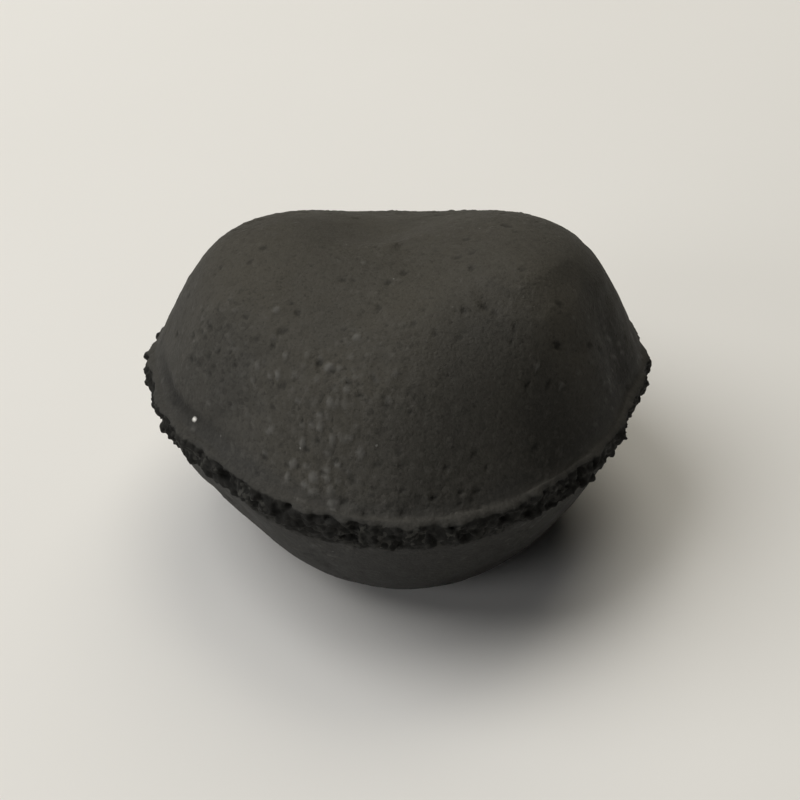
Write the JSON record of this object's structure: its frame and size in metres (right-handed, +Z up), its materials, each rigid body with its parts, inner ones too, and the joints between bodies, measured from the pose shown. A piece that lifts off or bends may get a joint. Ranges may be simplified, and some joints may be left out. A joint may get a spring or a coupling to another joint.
{
  "type": "charcoal briquette",
  "caption": "Pillow-shaped lump of pressed charcoal fuel: domed crown, rounded lower half and a torn band of flash round the waist.",
  "frame": {"origin": "on the flat of the lower half that it lies on, under the middle of the briquette's box", "axes": "+Z up through the thickness of the pillow, +Y from its front to its back, +X across it"},
  "size_m": [0.0562, 0.0578, 0.036],
  "materials": {
    "charcoal": "dull, grainy, nearly black pressed char with small pits and a few bright specks"
  },
  "bodies": {
    "root": {"briquette": "charcoal"}
  },
  "joints": []
}
